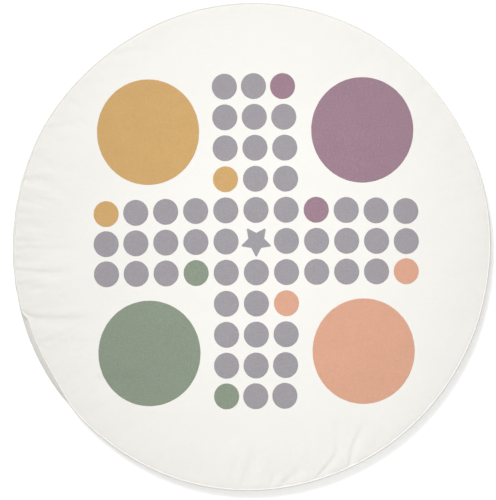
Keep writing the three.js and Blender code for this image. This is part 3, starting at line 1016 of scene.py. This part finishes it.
def foam_pad():
    """The foam disc: flat below, following the cover above, with its edges broken by handling."""
    span = Span("foam_core")
    theta = turns(360)
    rim = np.minimum(span.outer, seam_radius(theta) - FOAM_INSET)
    quarter = np.linspace(0, np.pi / 2, 7)

    def foam_top(radius):
        return cover_height(radius * np.cos(theta), radius * np.sin(theta)) - CLOTH - FOAM_GAP

    wall_foot, wall_head = span.low + FOAM_DROP, foam_top(rim) - FOAM_DROP
    rows = [(rim - FOAM_EDGE * (1 - np.sin(t)), span.low + FOAM_DROP * (1 - np.cos(t))) for t in quarter]
    rows += [(rim, wall_foot + share * (wall_head - wall_foot)) for share in (0.2, 0.4, 0.6, 0.8)]
    for t in quarter:
        radius = rim - FOAM_EDGE * (1 - np.cos(t))
        rows.append((radius, foam_top(radius) - FOAM_DROP * (1 - np.sin(t))))
    shoulder = rows[-2][0]
    for share in (0.94, 0.88, 0.8, 0.7, 0.6, 0.5, 0.4, 0.3, 0.2, 0.1):
        rows.append((shoulder * share, foam_top(shoulder * share)))
    faces = grid_faces(len(rows), len(theta))
    middle, last = len(rows) * len(theta), (len(rows) - 1) * len(theta)
    for j in range(len(theta)):
        k = (j + 1) % len(theta)
        faces += [(k, j, middle), (last + j, last + k, middle + 1)]
    rings = [polar(theta, radius, level) for radius, level in rows]
    points = np.vstack([*rings, [(0, 0, span.low), (0, 0, foam_top(np.zeros(1))[0])]])
    piece = turned_piece("foam_core_pad", "foam_core", (points, faces), foam_cells)


# ---------- the print ----------

DOT_RINGS = [1, 0.97, 0.9, 0.78, 0.62, 0.44, 0.24]
HOME_RINGS = [1, 0.992, 0.975, *np.linspace(0.95, 0.05, 21)]
STAR_RINGS = [1, 0.985, 0.93, 0.82, 0.66, 0.46, 0.24]


def grid_place(column, row, middle, pitch, skew, bow=(0, 0), taper=(0, 0)):
    """Middle of a place, from its column and row on a grid that the cloth pulls out of square."""
    place = []
    for k, (along, across) in enumerate(((column, row), (row, column))):
        step = pitch[k] - taper[0] * along**2 - taper[1] * across**2
        place.append(middle[k] + step * along + skew[k] * across + bow[k] * across**2)
    return place


def print_place(column, row):
    return grid_place(column, row, PRINT_MIDDLE, PRINT_PITCH, PRINT_SKEW, PRINT_BOW, PRINT_TAPER)


def home_place(column, row):
    return grid_place(column, row, HOME_MIDDLE, HOME_PITCH, HOME_SKEW)


def ink_patch(middle, rim, rings, under_rings, spokes):
    """Points and faces of a film of ink that follows the cloth."""
    upper, lower = moved(cover_height, INK_PROUD), moved(cover_height, -INK_DEPTH)
    return disc_solid(rim, upper, lower, rings, under_rings, spokes, middle)


def oval(radius):
    """A circle of that many grid places, as the cloth's pull has made it, with a slightly woolly edge."""
    width, height = radius * HOME_PITCH[0], radius * HOME_PITCH[1]

    def rim(theta):
        woolly = 0.09 * np.sin(23 * theta) + 0.07 * np.sin(37 * theta + 1) + 0.05 * np.sin(59 * theta + 2)
        even = width * height / np.hypot(height * np.cos(theta), width * np.sin(theta))
        return even + woolly

    return rim


def star_rim(theta):
    """A five-pointed star that stands on one point, with its points rounded."""
    part = np.pi / 5
    turn = np.abs((theta + np.pi / 2 + part) % (2 * part) - part)
    straight = STAR_RADIUS * STAR_WAIST * np.sin(part)
    straight = straight / (STAR_WAIST * np.sin(part - turn) + STAR_RADIUS * np.sin(turn))
    half_point = math.atan2(STAR_WAIST * math.sin(part), STAR_RADIUS - STAR_WAIST * math.cos(part))
    centre = STAR_RADIUS - STAR_ROUNDING / math.sin(half_point)
    touch = math.atan2(STAR_ROUNDING * math.cos(half_point), centre + STAR_ROUNDING * math.sin(half_point))
    under_root = np.maximum(STAR_ROUNDING**2 - (centre * np.sin(turn)) ** 2, 0)
    rounded = centre * np.cos(turn) + np.sqrt(under_root)
    return np.where(turn < touch, rounded, straight)


def track_places():
    """Every place of the cross but the middle one."""
    reach = range(-ARM_REACH, ARM_REACH + 1)
    for column in reach:
        for row in reach:
            on_cross = min(abs(column), abs(row)) <= 1
            if on_cross and (column, row) != (0, 0):
                yield column, row


def print_piece(node, patches, ink):
    piece = new_object(node + "_ink", *joined(patches), inks[ink])
    on_body(piece, node)


def printed_game():
    starts = {c[end] for c in GAME_COLOURS.values() for end in ("outer", "inner")}

    def dot(place):
        return ink_patch(print_place(*place), oval(DOT_RADIUS), DOT_RINGS, DOT_RINGS, 48)

    print_piece("print_track", [dot(place) for place in track_places() if place not in starts], "grey")
    print_piece("print_star", [ink_patch(print_place(0, 0), star_rim, STAR_RINGS, STAR_RINGS, 480)], "grey")
    for name, places in GAME_COLOURS.items():
        middle = home_place(*(HOME_PLACE * side for side in places["home"]))
        home = ink_patch(middle, oval(HOME_RADIUS), HOME_RINGS, HOME_RINGS[::2], 192)
        print_piece(f"print_home_{name}", [home], name)
        for end in ("outer", "inner"):
            print_piece(f"print_{end}_start_{name}", [dot(places[end])], name)


# ---------- the zip ----------


def coil(name, node, phase):
    """One half of a closed coil zip: a flattened helix of nylon along the tape's edge."""
    span = Span(node)
    length, deep, high = span.size
    deep = deep / 2 - COIL_WIRE
    high = high / 2 - COIL_WIRE + 0.28
    count = int(length / COIL_PITCH)
    t = np.arange(count * COIL_STEPS + 1) / COIL_STEPS
    theta = span.first + (t + 0.5 * phase) / (count + 1) * (span.last - span.first)
    path = polar(theta, span.radius + deep * np.cos(TURN * t), span.level + high * np.sin(TURN * t))
    turned_piece(name, node, tube(path, COIL_WIRE, 6), nylon)


def tape(name, node, side):
    """Woven tape with a raised cord along the edge that the coil is sewn to."""
    span = Span(node)
    theta = np.linspace(span.first, span.last, 520)[None, :]
    share = np.linspace(0, 1, 15)[:, None]
    edge, far = (span.low, span.high) if side > 0 else (span.high, span.low)
    level = edge + share * (far - edge)
    cord = 0.22 * bell(share, 0.1, 0.06) + 0.12 * bell(share, 0.32, 0.05)
    ribs = 0.04 * np.sin(theta * span.outer * TURN / 2.4)
    radius = span.outer + cord + ribs * (1 - np.exp(-share * 6))
    weave = shell(polar(theta, radius, level), polar(theta, radius - span.size[1], level))
    piece = turned_piece(name, node, weave, tape_weave)


def stop(name, node):
    """A metal stop clamped round the tape's edge: a rounded block with a pressed waist."""
    span = Span(node)
    points, faces = rounded_block(span.size, 0.35, (6, 2, 4))
    points[:, 1] -= (points[:, 1] > 0) * 0.28 * bell(points[:, 0], 0, 0.55)
    turned_piece(name, node, (on_rim(points, span), faces), nickel)


def end_tab(name, node):
    """A folded scrap of canvas over one end of the zip, with four stitches near each of its ends."""
    span = Span(node)
    length, depth, height = span.size
    points, faces = rounded_block(span.size, 0.45, (28, 2, 14))
    x, y, z = points.T
    pillow = 0.9 * (1 - (2 * x / length) ** 4) * (1 - (2 * z / height) ** 4)
    points[:, 1] += (y > 0) * (pillow + 0.12 * np.sin(x * 1.7 + z))
    turned_piece(name, node, (on_rim(points, span), faces), shaded_band_canvas)
    parts = []
    for end in (-1, 1):
        for k in range(4):
            path = [
                (end * (length / 2 - 1.8), depth / 2 + lift, -2.7 + 1.8 * k + across)
                for across, lift in ((-0.65, 0.35), (-0.35, 0.95), (0.35, 0.95), (0.65, 0.35))
            ]
            parts.append(tube(on_rim(np.array(path), span), 0.22, 6))
    turned_piece(name + "_stitches", None, joined(parts), thread)


def outline_plate(outer, inner, thick, bevel=0.22):
    """A flat plate between two loops of (x, z) points, with its outer and inner edges broken."""
    middle = (outer + inner) / 2
    near_inner, near_outer = inner + (middle - inner) * 0.12, outer + (middle - outer) * 0.12
    steps = (
        (inner, bevel - thick), (near_inner, -thick), (middle, -thick), (near_outer, -thick),
        (outer, bevel - thick), (outer, thick - bevel),
        (near_outer, thick), (middle, thick), (near_inner, thick), (inner, thick - bevel),
    )
    rows = [np.column_stack([loop[:, 0], np.full(len(loop), level), loop[:, 1]]) for loop, level in steps]
    return np.vstack(rows), grid_faces(len(rows), len(outer), looped=True)


def stadium(length, width, middle, power=2.6):
    """Points round a long shape with full ends: (x, z), centred at x = middle."""
    x = middle + length / 2 * signed_power(np.cos(turns(48)), 2 / power)
    z = width / 2 * signed_power(np.sin(turns(48)), 2 / power)
    return np.column_stack([x, z])


def slider():
    """The slider: a domed face plate with two lips behind it and the bridge that holds the pull tab."""
    low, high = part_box("zip_slider")
    height = (high.z - low.z) / MM
    along, out, _ = SLIDER_AXES @ cad_points("zip_slider").T
    length = along.max() - along.min()
    face_inner, face_outer = PIN_RADIUS - 3.0, PIN_RADIUS - 2.0
    plate, plate_faces = rounded_block((length, face_outer - face_inner, height), 0.4, (12, 2, 8))
    plate[:, 2] *= 1 - 0.10 * bell(plate[:, 0], 0.6, 2.2)
    dome = 0.18 * (1 - (2 * plate[:, 2] / height) ** 2)
    plate[:, 1] += (face_inner + face_outer) / 2 + (plate[:, 1] > 0) * dome
    parts = [(plate, plate_faces)]
    lip_outer, lip_inner = face_inner + 0.5, out.min()
    for side in (-1, 1):
        lip, lip_faces = rounded_block((length, lip_outer - lip_inner, 0.8), 0.3, (12, 1, 1))
        parts.append((lip + (0, (lip_outer + lip_inner) / 2, side * (height / 2 - 0.4)), lip_faces))
    turn = np.linspace(0, np.pi, 19)
    x = 2.15 * signed_power(np.cos(turn), 0.45)
    y = face_outer - 0.15 + (out.max() - face_outer - 0.35) * np.sin(turn) ** 0.45
    arch, arch_faces = tube(np.column_stack([x, y, np.zeros_like(x)]), 0.35, 12)
    parts.append((arch * (1, 1, 3), arch_faces))
    points, faces = joined(parts)
    turned_piece("zip_slider_body", "zip_slider", (at_slider(points), faces), nickel, "slider")


def pull_tab():
    """The pull tab: a pressed plate with a grip slot and an eye round the bridge's beam, and its pin."""
    along, _, up = SLIDER_AXES @ cad_points("zip_pull_tab").T
    width, reach = up.max() - up.min(), along.max()
    eye = stadium(9.5, width * 0.98, 2.6), stadium(5.4, 2.9, 2.4)
    grip = stadium(reach - 6.2, width, (reach + 6.2) / 2, 3.2), stadium(6.6, 2.0, reach - 5.6)
    pin = np.column_stack([np.zeros(9), np.zeros(9), np.linspace(-width / 2 + 0.3, width / 2 - 0.3, 9)])
    points, faces = joined([outline_plate(*eye, 0.5), outline_plate(*grip, 0.5), tube(pin, 0.42, 14)])
    shape = at_slider(points + (0, PIN_RADIUS, 0)), faces
    turned_piece("zip_pull_tab_plate", "zip_pull_tab", shape, nickel, "pull_tab")


def zip_fastener():
    for number, (half, side) in enumerate((("upper", 1), ("lower", -1))):
        tape(f"zip_tape_{half}_weave", f"zip_tape_{half}", side)
        coil(f"zip_coil_{half}_helix", f"zip_coil_{half}", number)
    for node in ("zip_top_stop_upper", "zip_top_stop_lower", "zip_bottom_stop"):
        stop(node + "_clamp", node)
    for node in ("zip_end_tab_open_end", "zip_end_tab_closed_end"):
        end_tab(node + "_fold", node)
    slider()
    pull_tab()


# ---------- studio, in metres ----------

CAMERA_PLACE = (-0.0070, -0.0080, 4.03)
CAMERA_LENS = 126.7
FLOOR_SIZE = 40.0
SKY = 0.20


def placed(data, location):
    """An object of that data's name at a place in the scene."""
    obj = bpy.data.objects.new(data.name, data)
    obj.location = location
    bpy.context.scene.collection.objects.link(obj)
    return obj


def camera():
    data = bpy.data.cameras.new("camera")
    data.lens = CAMERA_LENS
    data.sensor_width = 36
    bpy.context.scene.camera = placed(data, CAMERA_PLACE)


def area_light(name, azimuth_deg, height_deg, distance, size, power):
    """A soft box that faces the middle of the mat; size is its width and its length."""
    data = bpy.data.lights.new(name, "AREA")
    data.shape = "RECTANGLE"
    data.size, data.size_y = size
    data.energy = power
    azimuth, height = math.radians(azimuth_deg), math.radians(height_deg)
    across, up = distance * math.cos(height), distance * math.sin(height)
    obj = placed(data, (across * math.cos(azimuth), across * math.sin(azimuth), up))
    obj.rotation_euler = (math.pi / 2 - height, 0, azimuth + math.pi / 2)
    obj.visible_camera = False


def floor():
    cells = 24
    side = np.linspace(-FLOOR_SIZE / 2, FLOOR_SIZE / 2, cells + 1) / MM
    x, y = np.meshgrid(side, side)
    points = np.column_stack([x.ravel(), y.ravel(), np.zeros(x.size)])
    faces = grid_faces(cells + 1, cells + 1, False)
    new_object("studio_floor", points, faces, floor_material())


def studio():
    scene = bpy.context.scene
    scene.view_settings.view_transform = "Standard"
    scene.world = bpy.data.worlds.new("studio")
    scene.world.use_nodes = True
    sky = scene.world.node_tree.nodes["Background"]
    sky.inputs["Color"].default_value = (1, 1, 1, 1)
    sky.inputs["Strength"].default_value = SKY
    area_light("key", 118, 47, 14.0, (4.8, 4.8), 1210)
    area_light("overhead", 4, 84.8, 0.803, (1.72, 1.13), 5.92)


camera()
floor()
foam_pad()
panels()
piping("top_piping_cord", "top_piping", seam_radius, TOP_CORD_LEVEL)
piping("bottom_piping_cord", "bottom_piping", lower_seam_radius, LOWER_SEAM_LEVEL)
side_band()
printed_game()
zip_fastener()
studio()
